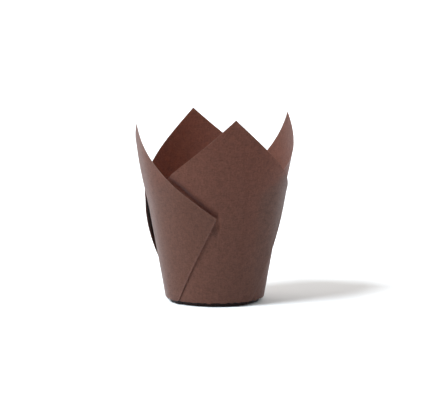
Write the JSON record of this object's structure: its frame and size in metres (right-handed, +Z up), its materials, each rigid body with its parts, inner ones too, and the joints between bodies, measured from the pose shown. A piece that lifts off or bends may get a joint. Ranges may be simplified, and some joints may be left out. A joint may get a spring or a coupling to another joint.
{
  "type": "tulip cupcake liner",
  "caption": "Tulip-style paper baking cup: a square sheet pressed into a round cup, its corners standing up as petals over pleated laps.",
  "frame": {"origin": "centre of the underside of the round base, on the cup's axis", "axes": "+Z up along the cup's axis; -Y towards the front petal; +X to the right"},
  "size_m": [0.0821, 0.086, 0.0961],
  "materials": {
    "brown_paper": "matt greaseproof paper, dyed dark brown right through"
  },
  "bodies": {
    "root": {"tulip_liner": "brown_paper"}
  },
  "joints": []
}
